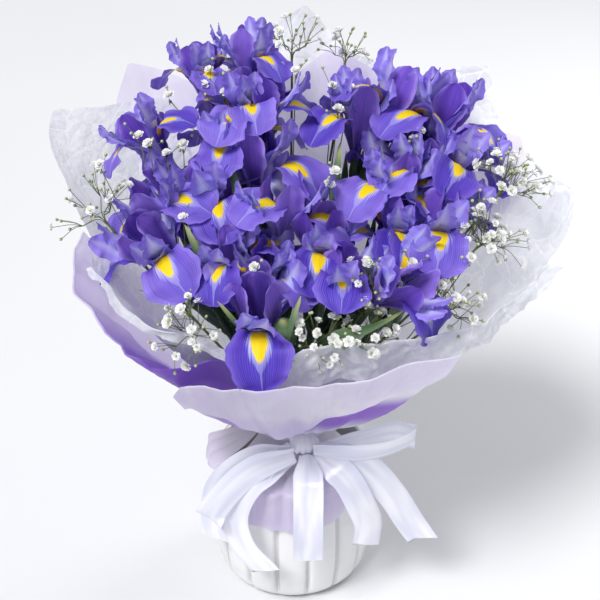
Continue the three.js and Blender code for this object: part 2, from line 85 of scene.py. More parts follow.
# Each sheet: its layer from inside out, how early it bellies, how far it flares off the bowl, and its rim
# as azimuth and height. skirt: its part below the tie, as azimuth, radius and height. cuff: its rim turned
# over, outwards (1) or inwards (-1): the fold's radius, how far the end stands off, how far it hangs by
# azimuth. painted_purple_shade, cuff_painted_purple_shade: how deep a purple shade is painted on the film
# by azimuth, up to the share painted_purple_shade_to of its height, for its folds, its overlapping layers
# and
# the shade under its cuff. creases: a seed and how far they stand. tucked: from where it lies close to the
# bowl.
SHEETS = {
    "tissue_left": dict(
        layer=0, belly=0.85, flare=0, look="tissue",
        rim=[(128, 386), (143, 381), (155, 390), (163, 368), (172, 346), (184, 315), (205, 300), (225, 288),
             (245, 276), (262, 270)],
        cuff=(1, 0.7, 5, [(128, 0), (184, 0), (200, 5), (225, 8), (262, 8)])),
    "tissue_right": dict(
        layer=1, belly=0.85, flare=4, look="tissue",
        rim=[(255, 272), (274, 284), (303, 288), (323, 288), (341, 288), (349, 294), (361, 325), (368, 347),
             (377, 349), (387, 356), (394, 392), (398, 415), (406, 410)],
        cuff=(1, 0.8, 15, [(255, 0), (260, 18), (266, 40), (285, 46), (305, 42), (323, 30), (345, 13),
                           (356, 0), (406, 0)])),
    "film_back_right": dict(
        layer=2, belly=0.82, flare=10, look="film", painted_purple_shade=[(0, 0.12)],
        rim=[(18, 332), (22, 347), (26, 366), (33, 368), (45, 386), (60, 400), (76, 427),
             (85, 410), (98, 396)]),
    "film_back_left": dict(
        layer=2, belly=0.82, flare=10, look="film", painted_purple_shade=[(0, 0.12)],
        rim=[(116, 392), (122, 397), (128, 405), (133, 410), (138, 384), (142, 354)]),
    "tissue_back": dict(
        layer=3, belly=0.76, flare=16, look="tissue",
        rim=[(50, 396), (61, 407), (71, 419), (78, 433), (86, 456), (100, 435), (112, 415), (126, 392)],
        skirt=[(62, 76, 96), (90, 78, 82), (118, 76, 94)]),
    "film_left": dict(
        layer=1, belly=0.66, flare=37, look="film", creases=(5, 3.4), tucked=222,
        rim=[(164, 300), (172, 297), (181, 293), (191, 279), (199, 266), (212, 262), (224, 262), (232, 262),
             (240, 268), (250, 270), (260, 268)],
        cuff=(-1, 0.9, 5, [(164, 24), (185, 32), (215, 34), (252, 20)]),
        painted_purple_shade=[(164, 0.2), (186, 0.4), (204, 1.0), (252, 1.0)],
        cuff_painted_purple_shade=[(164, 0.0), (190, 0.12), (204, 0.6), (222, 1.0), (252, 1.0)],
        skirt=[(172, 74, 106), (190, 77, 114), (208, 74, 120)]),
    "film_front": dict(
        layer=2, belly=0.46, flare=35, look="film", creases=(8, 3.0), painted_purple_shade_to=0.62,
        rim=[(220, 222), (230, 247), (236, 258), (243, 262), (260, 266), (275, 266), (290, 268), (298, 277),
             (307, 284), (316, 287)],
        cuff=(1, 0.6, 5, [(220, 14), (232, 38), (248, 72), (262, 90), (275, 84), (290, 62), (304, 42),
                          (316, 24)]),
        painted_purple_shade=[(220, 0.2), (234, 0.8), (246, 0.3), (260, 0.3), (270, 1.0), (316, 1.0)],
        skirt=[(214, 73, 118), (226, 73, 98), (238, 74, 88), (262, 75, 87), (286, 75, 88), (300, 75, 98),
               (314, 76, 112), (328, 75, 119), (344, 74, 122)]),
}
# each strip of the ribbon: its width's way at the start and at the end, how far a tail's end is cut aslant
# (a loop has none), then its middle line
STRIPS = [
    ((1, 0, 0), (1, 0, 0), 0.6, [(12, -50, 148), (13, -76, 136), (13, -86, 108), (13, -87, 68)]),
    ((0.93, 0.1, 0.35), (0.93, 0.2, 0.2), 4.0,
     [(20, -50, 148), (42, -68, 140), (56, -70, 112), (63, -66, 88), (62, -64, 64)]),
    ((0.5, 0.1, 0.8), (0.8, 0.1, 0.55), 6.5,
     [(18, -50, 154), (54, -60, 148), (82, -60, 114), (97, -59, 86), (109, -59, 66)]),
    ((-0.6, 0, 0.8), (-0.98, 0.2, 0), -1.5,
     [(-2, -51, 153), (-38, -60, 148), (-60, -57, 118), (-65, -54, 90), (-66, -54, 62)]),
    ((0.8, -0.1, -0.6), (0.9, -0.2, 0.3), 5.5,
     [(0, -52, 148), (-34, -74, 138), (-47, -77, 108), (-41, -80, 78), (-23, -84, 54)]),
    ((-0.1, -0.35, 0.93), (-0.1, -0.35, 0.93), None,
     [(18, -53, 153), (54, -64, 160), (84, -61, 166), (98, -51, 168), (88, -41, 166), (56, -44, 160),
      (18, -48, 154)]),
    ((-0.72, -0.1, 0.68), (-0.72, -0.1, 0.68), None,
     [(2, -54, 152), (-34, -72, 148), (-57, -80, 126), (-66, -80, 108), (-62, -73, 102), (-50, -74, 122),
      (-24, -67, 148), (0, -49, 153)]),
]
KNOT = dict(place=(9, -42, 154.5), half=12.0, deep=9.6, high=8.6)
# petals from foot to tip: how far outwards, how far up and half as wide
FALL = [(2, 0, 2.5), (6, 14, 3.5), (11, 28, 5), (15, 36, 8), (20, 42, 13), (27, 44.5, 17.8), (35, 43, 21),
        (43, 38.5, 22), (49, 32.5, 19), (53, 27, 13), (55, 23.5, 3)]
STANDARD = [(1.5, 0, 2.5), (4, 14, 4), (8, 28, 6.5), (11, 41, 10.5), (12.5, 52, 13), (12.5, 61, 11.8),
            (11.5, 67, 7.5), (11, 70.5, 1)]
STYLE = [(1.5, 0, 4), (4, 14, 5.5), (8, 27, 7.5), (13, 37.5, 8.8), (18, 44.5, 9.2), (21.5, 48.5, 8.8),
         (23.5, 50, 7)]
CREST = [(15, 42, 5), (20.5, 49, 8.2), (25.5, 55.5, 9.4), (29, 62.5, 8.6), (31, 69, 6), (31.5, 74, 1.2)]
SPATHE = [(3.2, -74, 1), (4, -62, 5), (5.5, -40, 8), (6.5, -20, 6.5), (7.5, -4, 3.2), (8.5, 8, 0.4)]
CLOSED = [(1.5, -3, 2), (6.5, 4, 8.5), (8, 12, 9.5), (6.6, 20, 8), (3.2, 26, 4.5), (0.2, 30, 0.4)]
BUD_LEAF = [(2, -30, 1), (6, -18, 6), (10, -4, 7), (13, 10, 4), (15, 20, 0.5)]
# what a point belongs to, for the materials of the irises and of the sprays
KIND = dict(fall=0.0, standard=1.0, style=2.0, crest=3.0, green=4.0, leaf=5.0)
STALK, KNOB, BLOOM = 0.0, 1.0, 2.0
# falls that their neighbours hold higher, as (iris, turn) and degrees, and those folded right up
RAISED = {(1, 240): 18, (16, 0): 13, (16, 120): 6, (19, 240): 20, (14, 240): 16, (18, 0): 20, (12, 120): 15}
FOLDED_UP = {(16, 240), (17, 240)}
# leaves between the blooms, by the iris each grows with: its half width and its middle line
LEAVES = {
    25: (5.0, [(-14, -46, 235), (-28, -78, 276), (-40, -88, 298), (-52, -82, 312)]),
    21: (6.5, [(-30, -30, 262), (-50, -52, 305), (-64, -54, 328), (-77, -38, 350)]),
    6: (6.5, [(-24, -2, 290), (-36, -14, 340), (-42, -8, 368), (-48, 6, 386)]),
    18: (6.5, [(14, -50, 240), (34, -86, 284), (58, -92, 298), (80, -84, 306)]),
    13: (5.5, [(26, 4, 300), (31, -8, 350), (33, 0, 374), (36, 14, 392)]),
    20: (5.0, [(-4, -50, 236), (-6, -90, 282), (0, -90, 300), (7, -78, 314)]),
    23: (5.0, [(-50, -30, 250), (-76, -52, 290), (-96, -64, 306), (-112, -66, 312)]),
}
# places of blooms that stand apart from the sprays' heads, by the spray each grows from
SINGLES = {
    0: [(-113, 16, 396), (-106, 11, 392), (-92, 5, 387), (-80, 9, 392), (-141, 0, 380), (-132, -21, 362),
        (-78, -34, 353)],
    1: [(-26, -64, 329)],
    2: [(-92, 40, 419), (-66, 45, 425), (-62, 54, 434), (-50, 41, 421), (-37, 46, 427), (3, 52, 434)],
    3: [(31, 44, 425), (44, 44, 423), (35, 29, 412)],
    4: [(96, 17, 400), (90, 12, 395), (153, -15, 369)],
    5: [(128, -57, 333), (137, -30, 356)],
    6: [(106, -74, 320), (116, -81, 314)],
    7: [(6, -86, 296), (30, -92, 286)],
    9: [(32, -8, 378), (28, -15, 371), (54, -62, 331), (86, -62, 331)],
}
# a bloom's rings of petals: how many, how far they open and how long they are
RINGS = ((6, 80, 1.0), (6, 55, 0.9), (5, 30, 0.75), (3, 10, 0.55))
GOLDEN = 137.5  # degrees from one arm of a spray to the next
UP = np.array([0.0, 0.0, 1.0])
ANY_WAY = np.array([0.31, 0.94, 0.1])  # no stalk runs this way


def unit(v):
    v = np.asarray(v, float)
    return v / np.maximum(np.linalg.norm(v, axis=-1, keepdims=True), 1e-9)


def stacked(*parts):
    """Coordinates joined into points."""
    return np.stack(np.broadcast_arrays(*parts), -1)


def polar(degrees, radius, z):
    a = np.radians(degrees)
    return stacked(radius * np.cos(a), radius * np.sin(a), z).astype(float)


def turned(v, axis, degrees):
    a = math.radians(degrees)
    return v * math.cos(a) + np.cross(axis, v) * math.sin(a) + axis * (v @ axis) * (1 - math.cos(a))


def smooth(x):
    x = np.clip(x, 0, 1)
    return x * x * (3 - 2 * x)


def shares(count):
    return np.linspace(0, 1, count)


def read(rows, at, column=1):
    """A column of a table against its first column."""
    rows = np.array(rows, float)
    return np.interp(at, rows[:, 0], rows[:, column])


def curve(rows, t):
    """A smooth curve through rows, read at shares t of its length over the first three columns."""
    rows = np.asarray(rows, float)
    step = np.linalg.norm(np.diff(rows[:, :3], axis=0), axis=1)
    knots = np.concatenate([[0], np.cumsum(np.maximum(step, 1e-6))])
    knots /= knots[-1]
    slope = np.gradient(rows, knots, axis=0)
    t = np.clip(np.asarray(t, float), 0, 1)
    k = np.clip(np.searchsorted(knots, t, side="right") - 1, 0, len(knots) - 2)
    h = (knots[k + 1] - knots[k])[:, None]
    u = ((t - knots[k]) / h[:, 0])[:, None]
    a, b = rows[k], rows[k + 1]
    return ((2 * u**3 - 3 * u**2 + 1) * a + (u**3 - 2 * u**2 + u) * h * slope[k]
            + (3 * u**2 - 2 * u**3) * b + (u**3 - u**2) * h * slope[k + 1])


def path(rows, count):
    return curve(rows, shares(count))


def rumple(points, scale, seed):
    """Smooth noise from -1 to 1 at each point, its bumps about scale wide."""
    flat = points.reshape(-1, 3) / scale
    values = [noise.noise(Vector((x + seed, y - seed, z + 2 * seed))) for x, y, z in flat]
    return np.array(values).reshape(points.shape[:-1])


# ---- stems: the same packing as the CAD's ----
def spread_out(level, pull=1.0):
    for s in level:
        s[0] *= pull
        s[1] *= pull
        for t in level:
            if s is t:
                continue
            dx, dy = t[0] - s[0], t[1] - s[1]
            apart = s[2] + t[2] + PACKING["room"]
            distance = math.hypot(dx, dy) or 1
            if distance < apart:
                push = (apart - distance) / (2 * distance)
                s[0] -= dx * push
                s[1] -= dy * push
                t[0] += dx * push
                t[1] += dy * push


def head_frame(x, y, z, facing, size, upright=HEAD["upright"]):
    signal = np.array([x, y, z], float)
    axis = unit(signal - [0, 0, HEAD["fan"]])
    axis = unit(axis * (1 - upright) + UP * upright)
    side = unit(np.cross(axis, polar(facing, 1, 0)))
    out = np.cross(side, axis)
    base = signal - out * HEAD["out"] * size - axis * HEAD["up"] * size
    return dict(base=base, axis=axis, out=out, size=size)


packed = [head_frame(*row) for row in IRISES]
heads = [head_frame(*row[:4], row[4] * SHORTER.get(k, OPEN), *row[5:]) for k, row in enumerate(IRISES)]
bud_axis = unit(np.array(BUD, float) - [0, 0, HEAD["fan"]])
crowns = [(h["base"], h["axis"], STEM["iris"]) for h in packed]
crowns.append((np.array(BUD) - bud_axis * BUD_CELL, bud_axis, STEM["bud"]))
for x, y, z, *_ in SPRAYS:
    hub = np.array([x, y, z], float)
    crowns.append((hub, unit(hub - [0, 0, HEAD["fan"]]), STEM["spray"]))
spots = [[p[0] * PACKING["start"], p[1] * PACKING["start"], r] for p, _, r in crowns]
for _ in range(PACKING["drawing"]):
    spread_out(spots, PACKING["pull"])
for _ in range(PACKING["letting"]):
    spread_out(spots)
BUNDLE = max(math.hypot(x, y) + r for x, y, r in spots)
tops = [p - a * HEAD["straight"] for p, a, _ in crowns]
bends = [[] for _ in crowns]
level_z = NECK_HIGH + STEM["level"]
while level_z < max(t[2] for t in tops):
    level = []
    for k, (_, _, r) in enumerate(crowns):
        share = (level_z - NECK_HIGH) / (tops[k][2] - NECK_HIGH)
        if share <= STEM["last"]:
            x, y, _ = spots[k]
            level.append([x + (tops[k][0] - x) * share, y + (tops[k][1] - y) * share, r + GAP, k])
    for _ in range(PACKING["level"]):
        spread_out(level)
    for x, y, _, k in level:
        bends[k].append((x, y, level_z))
    level_z += STEM["level"]


def route(k):
    x, y, _ = spots[k]
    foot = (x * STEM["spread"], y * STEM["spread"], VASE["floor"] + GAP)
    return [foot, (x, y, NECK_LOW), (x, y, NECK_HIGH), *bends[k], tuple(tops[k]), tuple(crowns[k][0])]


def neck_radius(layer):
    return BUNDLE + TIE["thickness"] + 2 * GAP + layer * PITCH


# ---- meshes ----
class Build:
    """Gathers grids of points into one mesh. Each point keeps where it is on its petal or sheet."""

    def __init__(self):
        self.points, self.faces, self.place, self.tone, self.slots = [], [], [], [], []
        self.count = 0

    def grid(self, points, place, tone=0.0, slot=0, wrap=False):
        rows, columns = points.shape[:2]
        index = np.arange(rows * columns).reshape(rows, columns) + self.count
        if wrap:
            index = np.concatenate([index, index[:, :1]], 1)
        quads = np.stack([index[:-1, :-1], index[:-1, 1:], index[1:, 1:], index[1:, :-1]], -1).reshape(-1, 4)
        self.points.append(points.reshape(-1, 3))
        self.place.append(np.broadcast_to(place, points.shape).reshape(-1, 3))
        self.tone.append(np.full(rows * columns, tone))
        self.faces.append(quads)
        self.slots.append(np.full(len(quads), slot))
        self.count += rows * columns

    def make(self, name, *materials):
        points = np.concatenate(self.points) * MM
        faces = np.concatenate(self.faces)
        mesh = bpy.data.meshes.new(name)
        mesh.from_pydata(points.tolist(), [], faces.tolist())
        place = mesh.attributes.new("place", "FLOAT_VECTOR", "POINT")
        place.data.foreach_set("vector", np.concatenate(self.place).ravel())
        tone = mesh.attributes.new("tone", "FLOAT", "POINT")
        tone.data.foreach_set("value", np.concatenate(self.tone))
        mesh.polygons.foreach_set("material_index", np.concatenate(self.slots).astype(int))
        mesh.polygons.foreach_set("use_smooth", np.ones(len(faces), bool))
        for material in materials:
            mesh.materials.append(material)
        return linked(name, mesh)


def linked(name, data):
    obj = bpy.data.objects.new(name, data)
    bpy.context.scene.collection.objects.link(obj)
    return obj


def frames(line, hint):
    """Along a line: its own direction and two square to it, the first of them closest to hint."""
    along = unit(np.gradient(line, axis=0))
    side = unit(hint - along * np.sum(along * hint, -1, keepdims=True))
    return along, side, unit(np.cross(along, side))


def swept(line, across, wide, normal, high):
    """A strip of points along a line: wide is how far they lie across it, high how far they stand off."""
    return line[:, None] + across[:, None] * wide[..., None] + normal[:, None] * high[..., None]


def tube(build, line, radius, sides, tone=0.0, slot=0, kind=STALK):
    """A round stalk along a line of points, with one radius or one for each point, closed at its ends."""
    line = np.asarray(line, float)
    radius = np.broadcast_to(radius, len(line)).astype(float)
    _, side, normal = frames(line, ANY_WAY)
    a = np.linspace(0, 2 * math.pi, sides, endpoint=False)[None, :, None]
    rings = line[:, None] + radius[:, None, None] * (np.cos(a) * side[:, None] + np.sin(a) * normal[:, None])
    ends = [np.repeat(line[k][None, None], sides, 1) for k in (0, -1)]
    rings = np.concatenate([ends[0], rings, ends[1]])
    place = stacked(np.linspace(-1, 1, sides)[None], shares(len(rings))[:, None], kind)
    build.grid(rings, place, tone, slot, wrap=True)


# ---- irises and bud ----
def petal(build, head, turn, outline, kind, rng, rows=26, columns=13, cup=0.1, ruffle=1.0, lean=0.0,
          twist=0.0, splay=0.0, slot=0, fold=0.0):
    """One petal. cup lifts its sides, ruffle waves its edge, lean tips it outwards, twist turns its tip,
    splay slides it sideways and fold ridges it. Angles are in degrees."""
    size, axis = head["size"], head["axis"]
    out = turned(head["out"], axis, turn)
    side = np.cross(axis, out)
    outward, upward, half = np.array(outline, float).T
    c, s = math.cos(math.radians(lean)), math.sin(math.radians(lean))
    t = 1 - (1 - shares(rows)) ** 1.25
    leaning = stacked(outward * c + upward * s, upward * c - outward * s, half)
    outward, upward, half = curve(leaning, t).T * size
    spine = (head["base"] + out * outward[:, None] + axis * upward[:, None]
             + side * (splay * t * size)[:, None])
    _, across, normal = frames(spine, side)

    t, half = t[:, None], np.maximum(half, 0.3)[:, None]
    s = np.linspace(-1, 1, columns)[None]
    phase, speed = rng.uniform(0, 6.28, 4), rng.uniform(0.8, 1.25, 4)

    def waves(right, right_pace, left, left_pace):
        """Waves down the right edge and down the left one."""
        return np.where(s > 0, np.sin(right + right_pace * t), np.sin(left + left_pace * t))

    crisp = waves(phase[1], 71, phase[0], 67)
    wave = waves(phase[0], 17 * speed[0], phase[1], 16 * speed[1])
    wave = wave + 0.5 * waves(phase[2], 37, phase[3], 34) + 0.32 * crisp * np.abs(s) ** 3
    edge = np.abs(s) ** 1.6
    body = smooth((t - 0.1) * 2)
    high = cup * half * (s**2 - 0.35) + ruffle * 0.075 * half * edge * wave * body
    high += fold * half * np.cos(s * 7 + phase[2]) * 0.05 * body
    high -= 0.06 * half * np.exp(-(s * 6) ** 2) * body
    angle = np.radians(twist) * t
    x = half * s * np.cos(angle) - high * np.sin(angle)
    z = half * s * np.sin(angle) + high * np.cos(angle)
    wobble = 1 + ruffle * (0.045 * np.sin(phase[3] + 21 * t) + 0.02 * crisp) * edge * body
    points = swept(spine, across, x * wobble, normal, -z)
    build.grid(points, stacked(s, t, KIND[kind]), rng.uniform(-1, 1), slot)


def blade(build, width, line, rng):
    """A strap leaf along a line, folded a little along its middle and tapering to a point."""
    t = shares(22)
    middle = curve(line, t)
    _, across, normal = frames(middle, np.array([0.8, -0.5, 0.3]))
    half = (width * np.sqrt(np.maximum(1 - t**2.2, 0.002)) * (0.55 + 0.45 * smooth(t * 4)))[:, None]
    s = np.linspace(-1, 1, 7)[None]
    points = swept(middle, across, half * s, normal, half * 0.3 * np.abs(s))
    build.grid(points, stacked(s, t[:, None], KIND["leaf"]), rng.uniform(-1, 1), 1)


def flower(index):
    rng = np.random.default_rng(SEEDS["iris"] + index)
    head, build = heads[index], Build()
    for turn in (0, 120, 240):
        sway = rng.uniform(-5, 5)
        if (index + 1, turn) in FOLDED_UP:
            petal(build, head, turn + sway, STANDARD, "standard", rng, rows=28, columns=15, cup=0.3,
                  ruffle=1.2, lean=8)
        else:
            lift = RAISED.get((index + 1, turn), 0)
            petal(build, head, turn + sway, FALL, "fall", rng, rows=36, columns=19, cup=-0.12, ruffle=1.6,
                  lean=rng.uniform(-4, 6) - lift, twist=rng.uniform(-10, 10))
        behind = max(turned(head["out"], head["axis"], turn)[1], 0)
        arch = rng.uniform(-5, 4) + 6 * behind
        petal(build, head, turn + sway * 0.4, STYLE, "style", rng, rows=20, columns=11, cup=-0.42,
              ruffle=0.5, lean=arch)
        for way in (-1, 1):
            petal(build, head, turn + sway * 0.4, CREST, "crest", rng, rows=24, columns=13, cup=0.25,
                  ruffle=2.4, lean=arch + rng.uniform(-5, 3), twist=way * rng.uniform(0, 45),
                  splay=way * rng.uniform(5.5, 9.5), fold=0.3)
        petal(build, head, turn + 60 + rng.uniform(-9, 9), STANDARD, "standard", rng, rows=28, columns=13,
              cup=0.22, ruffle=1.6, lean=rng.uniform(-6, 9), twist=rng.uniform(-28, 28), fold=1.0)
    throat = [head["base"] + head["axis"] * up for up in (-16, -10, -3, 3, 8)]
    tube(build, path(throat, 8), (2.6, 4.0, 4.4, 4.2, 3.8, 3.6, 3.2, 2.2), 10, slot=1)
    tube(build, path(route(index), 46), STEM["iris"], 10, rng.uniform(-1, 1), 1)
    for turn in (rng.uniform(0, 360), 180):
        petal(build, head, turn, SPATHE, "green", rng, rows=16, columns=7, cup=0.9, ruffle=0.1, slot=1)
    if index + 1 in LEAVES:
        blade(build, *LEAVES[index + 1], rng)
    return build.make("iris_bloom_%02d" % (index + 1), PETAL, GREEN)


def closed_bud():
    rng = np.random.default_rng(SEEDS["bud"])
    out = unit(np.cross(bud_axis, [0, 1, 0.2]))
    head = dict(base=np.array(BUD) - bud_axis * 14, axis=bud_axis, out=out, size=1.0)
    build = Build()
    inner = [(outward * 0.93, upward * 1.03, half) for outward, upward, half in CLOSED]
    for turn in (0, 120, 240):
        for more, outline in ((0, CLOSED), (60, inner)):
            petal(build, head, turn + more, outline, "green", rng, rows=18, columns=11, cup=-0.75,
                  ruffle=0.3)
    tube(build, path(route(len(IRISES)), 40), STEM["bud"], 10)
    petal(build, head, 200, BUD_LEAF, "green", rng, rows=14, columns=7, cup=0.7, ruffle=0.1)
    return build.make("iris_bud_green", GREEN)


# ---- materials ----
def rgb(*parts):
    """A colour as it looks on a screen, 0 to 255, in the renderer's linear numbers."""
    bright = [c / 255 for c in parts]
    return tuple(c / 12.92 if c <= 10 / 255 else ((c + 0.055) / 1.055) ** 2.4 for c in bright) + (1.0,)


class Nodes:
    """A material's node tree, built by short calls."""

    def __init__(self, name):
        self.material = bpy.data.materials.new(name)
        self.material.use_nodes = True
        self.tree = self.material.node_tree
        self.tree.nodes.clear()
        self.out = self.add("OutputMaterial")

    def add(self, kind, **settings):
        node = self.tree.nodes.new("ShaderNode" + kind)
        for key, value in settings.items():
            setattr(node, key, value)
        return node

    def feed(self, sockets, *values):
        for socket, value in zip(sockets, values):
            if isinstance(value, bpy.types.NodeSocket):
                self.tree.links.new(value, socket)
            else:
                socket.default_value = value

    def named(self, node, **values):
        self.feed([node.inputs[key.replace("_", " ")] for key in values], *values.values())

    def math(self, operation, *values, clamp=False):
        node = self.add("Math", operation=operation, use_clamp=clamp)
        self.feed(node.inputs, *values)
        return node.outputs[0]

    def plus(self, a, b):
        return self.math("ADD", a, b)

    def minus(self, a, b):
        return self.math("SUBTRACT", a, b)

    def times(self, a, b):
        return self.math("MULTIPLY", a, b)

    def line(self, value, slope, start, clamp=False):
        return self.math("MULTIPLY_ADD", value, slope, start, clamp=clamp)

    def mix(self, share, a, b, blend="MIX"):
        node = self.add("Mix", data_type="RGBA", blend_type=blend)
        self.feed([node.inputs[k] for k in (0, 6, 7)], share, a, b)
        return node.outputs[2]

    def step(self, value, low, high, a=0.0, b=1.0):
        """From a to b as the value goes from low to high."""
        node = self.add("MapRange", interpolation_type="SMOOTHSTEP")
        self.feed(node.inputs, value, low, high, a, b)
        return node.outputs[0]

    def place(self):
        """Where a point is across and along its petal or sheet, its kind or the purple shade painted on a
        film, and its petal's tone.
        """
        node = self.add("Attribute", attribute_name="place")
        split = self.add("SeparateXYZ")
        self.feed(split.inputs, node.outputs["Vector"])
        tone = self.add("Attribute", attribute_name="tone")
        return (*split.outputs, tone.outputs["Fac"])

    def joined(self, x, y, z):
        node = self.add("CombineXYZ")
        self.feed(node.inputs, x, y, z)
        return node.outputs[0]

    def point(self):
        return self.add("TexCoord").outputs["Object"]

    def noise(self, vector, scale, detail=2.0, rough=0.5):
        node = self.add("TexNoise")
        self.named(node, Vector=vector, Scale=scale, Detail=detail, Roughness=rough)
        return node.outputs["Fac"]

    def grain(self, s, t, third, across, along, detail, rough=0.5, scale=1.0):
        """Noise drawn out by how fine it is across and along a petal or sheet."""
        drawn = self.joined(self.times(s, across), self.times(t, along), third)
        return self.noise(drawn, scale, detail, rough)

    def cracks(self, vector, scale):
        node = self.add("TexVoronoi", feature="DISTANCE_TO_EDGE")
        self.named(node, Vector=vector, Scale=scale)
        return node.outputs["Distance"]

    def bump(self, height, strength, distance, **under):
        node = self.add("Bump")
        self.named(node, Height=height, Strength=strength, Distance=distance, **under)
        return node.outputs[0]

    def finish(self, color, normal=None, through=0.0, **values):
        """The material itself, the share through of it letting light through."""
        shader = self.add("BsdfPrincipled")
        if normal is not None:
            values["Normal"] = normal
        self.named(shader, Base_Color=color, **values)
        result = shader.outputs[0]
        if through:
            back = self.add("BsdfTranslucent")
            self.feed(back.inputs, color)
            mixed = self.add("MixShader")
            self.feed(mixed.inputs, through, result, back.outputs[0])
            result = mixed.outputs[0]
        self.tree.links.new(result, self.out.inputs["Surface"])
        return self.material


def petal_base(n, t, away, kind):
    """The colours of each kind of petal from foot to tip, and from its middle to its edges."""
    fall = n.mix(n.step(t, 0.12, 0.5), rgb(84, 40, 140), rgb(94, 62, 194))
    # lighter towards the edges: partly the fall's own paler margin, partly a painted highlight on its
    # ruffled rim
    fall = n.mix(n.step(away, 0.55, 1.0, 0.0, 0.7), fall, rgb(156, 136, 240))
    fall = n.mix(n.step(t, 0.86, 1.0, 0.0, 0.4), fall, rgb(132, 110, 228))
    blue = n.times(n.step(t, 0.3, 0.55), n.step(t, 0.7, 1.0, 1.0, 0.2))
    blue = n.times(n.step(away, 0.15, 0.85, 1.0, 0.0), blue)
    fall = n.mix(n.times(blue, 0.7), fall, rgb(104, 86, 220))
    standard = n.mix(n.step(t, 0.05, 0.9), rgb(70, 36, 140), rgb(126, 88, 206))
    # lighter towards the edges: partly the standard's own paler margin, partly a painted highlight on its
    # ruffled rim
    standard = n.mix(n.step(away, 0.55, 1.0, 0.0, 0.7), standard, rgb(192, 170, 246))
    style = n.mix(n.step(t, 0.1, 0.9), rgb(112, 80, 196), rgb(164, 152, 244))
    rib = n.times(n.step(away, 0.2, 0.8, 1.0, 0.0), n.step(t, 0.35, 0.95, 0.35, 0.95))
    style = n.mix(rib, style, rgb(222, 224, 253))
    crest = n.mix(n.step(t, 0.0, 1.0), rgb(160, 152, 242), rgb(146, 126, 230))
    crest = n.mix(n.step(n.plus(away, n.times(t, 0.9)), 0.2, 1.2, 0.95, 0.0), crest, rgb(222, 226, 254))
    is_standard, is_crest = [n.math("COMPARE", kind, KIND[name], 0.3) for name in ("standard", "crest")]
    is_fall = n.math("LESS_THAN", kind, 0.5)
    return is_fall, n.mix(is_fall, n.mix(is_standard, n.mix(is_crest, style, crest), standard), fall)


def petal_signal(n, color, t, away, fine, is_fall):
    """A yellow tongue down the middle of each fall, in a white halo with streaks."""
    reach = n.minus(fine, 0.5)
    wide = n.math("SQRT", n.minus(1.0, n.times(n.step(t, 0.50, 0.80), 0.998)))
    halo = n.plus(n.math("DIVIDE", away, n.line(wide, 0.44, 0.02)), n.times(reach, 1.7))
    halo = n.times(n.step(halo, 0.65, 1.15, 1.0, 0.0), n.times(n.step(t, 0.38, 0.46), is_fall))
    color = n.mix(n.times(halo, n.step(t, 0.5, 0.8, 0.95, 0.25)), color, rgb(212, 216, 255))
    taper = n.math("SQRT", n.minus(1.0, n.times(n.step(t, 0.46, 0.735), 0.995)))
    signal = n.plus(n.math("DIVIDE", away, n.line(taper, 0.35, 0.03)), n.times(reach, 0.8))
    signal = n.times(n.step(signal, 0.8, 1.1, 1.0, 0.0), n.times(n.step(t, 0.36, 0.42), is_fall))
    signal = n.times(signal, n.step(t, 0.69, 0.735, 1.0, 0.0))
    yellow = n.mix(n.step(t, 0.40, 0.52), rgb(255, 172, 0), rgb(255, 220, 0))
    yellow = n.mix(n.step(fine, 0.58, 0.78, 0.0, 0.5), yellow, rgb(246, 140, 0))
    return n.mix(signal, color, yellow)


def petal_material():
    n = Nodes("iris_petal")
    s, t, kind, tone = n.place()
    seed = n.times(tone, 7.3)
    away = n.math("ABSOLUTE", s)
    veins = n.grain(s, t, seed, 13.0, 1.6, 3.0, 0.6)
    bend = n.grain(s, t, seed, 3.0, 7.0, 3.0)
    fine = n.grain(s, t, seed, 42.0, 2.2, 2.0)
    lines = n.line(n.minus(bend, 0.5), 9.0, n.times(s, 88.0))
    lines = n.line(n.math("SINE", lines), 0.5, 0.5)
    is_fall, color = petal_base(n, t, away, kind)
    dark = n.mix(1.0, color, rgb(142, 116, 198), "MULTIPLY")
    veined = n.line(n.math("GREATER_THAN", kind, 1.5), -0.65, 1.0)
    color = n.mix(n.times(n.step(veins, 0.5, 0.74, 0.0, 0.8), veined), color, dark)
    color = n.mix(n.times(n.step(fine, 0.52, 0.7, 0.0, 0.55), veined), color, dark)
    net = n.times(n.step(lines, 0.55, 1.0), n.step(away, 0.75, 1.0, 1.0, 0.35))
    color = n.mix(n.times(net, n.line(is_fall, 0.18, 0.2)), color, dark)
    light = n.times(n.step(lines, 0.0, 0.35, 0.16, 0.0), n.times(is_fall, n.step(t, 0.55, 0.8)))
    color = n.mix(light, color, rgb(176, 166, 246))
    cloud = n.noise(n.point(), 34.0)
    color = n.mix(n.step(cloud, 0.4, 0.75, 0.0, 0.3), color, rgb(112, 70, 190))
    color = n.mix(n.times(n.step(tone, -1.0, 0.0, 0.5, 0.0), veined), color, dark)
    middle = n.plus(away, n.times(n.math("SUBTRACT", t, 0.3, clamp=True), 0.8))
    pale = n.times(n.step(middle, 0.15, 0.8, 0.7, 0.0), n.minus(1.0, veined))
    color = n.mix(pale, color, rgb(214, 218, 254))
    color = n.mix(n.line(tone, 0.3, 0.12, clamp=True), color, rgb(170, 146, 238))
    color = petal_signal(n, color, t, away, fine, is_fall)
    ridges = n.plus(n.times(veins, 0.6), n.times(lines, -0.35))
    return n.finish(color, n.bump(ridges, 0.4, 0.0007), 0.2, Roughness=0.5, Sheen_Weight=0.06,
                    Specular_IOR_Level=0.3)


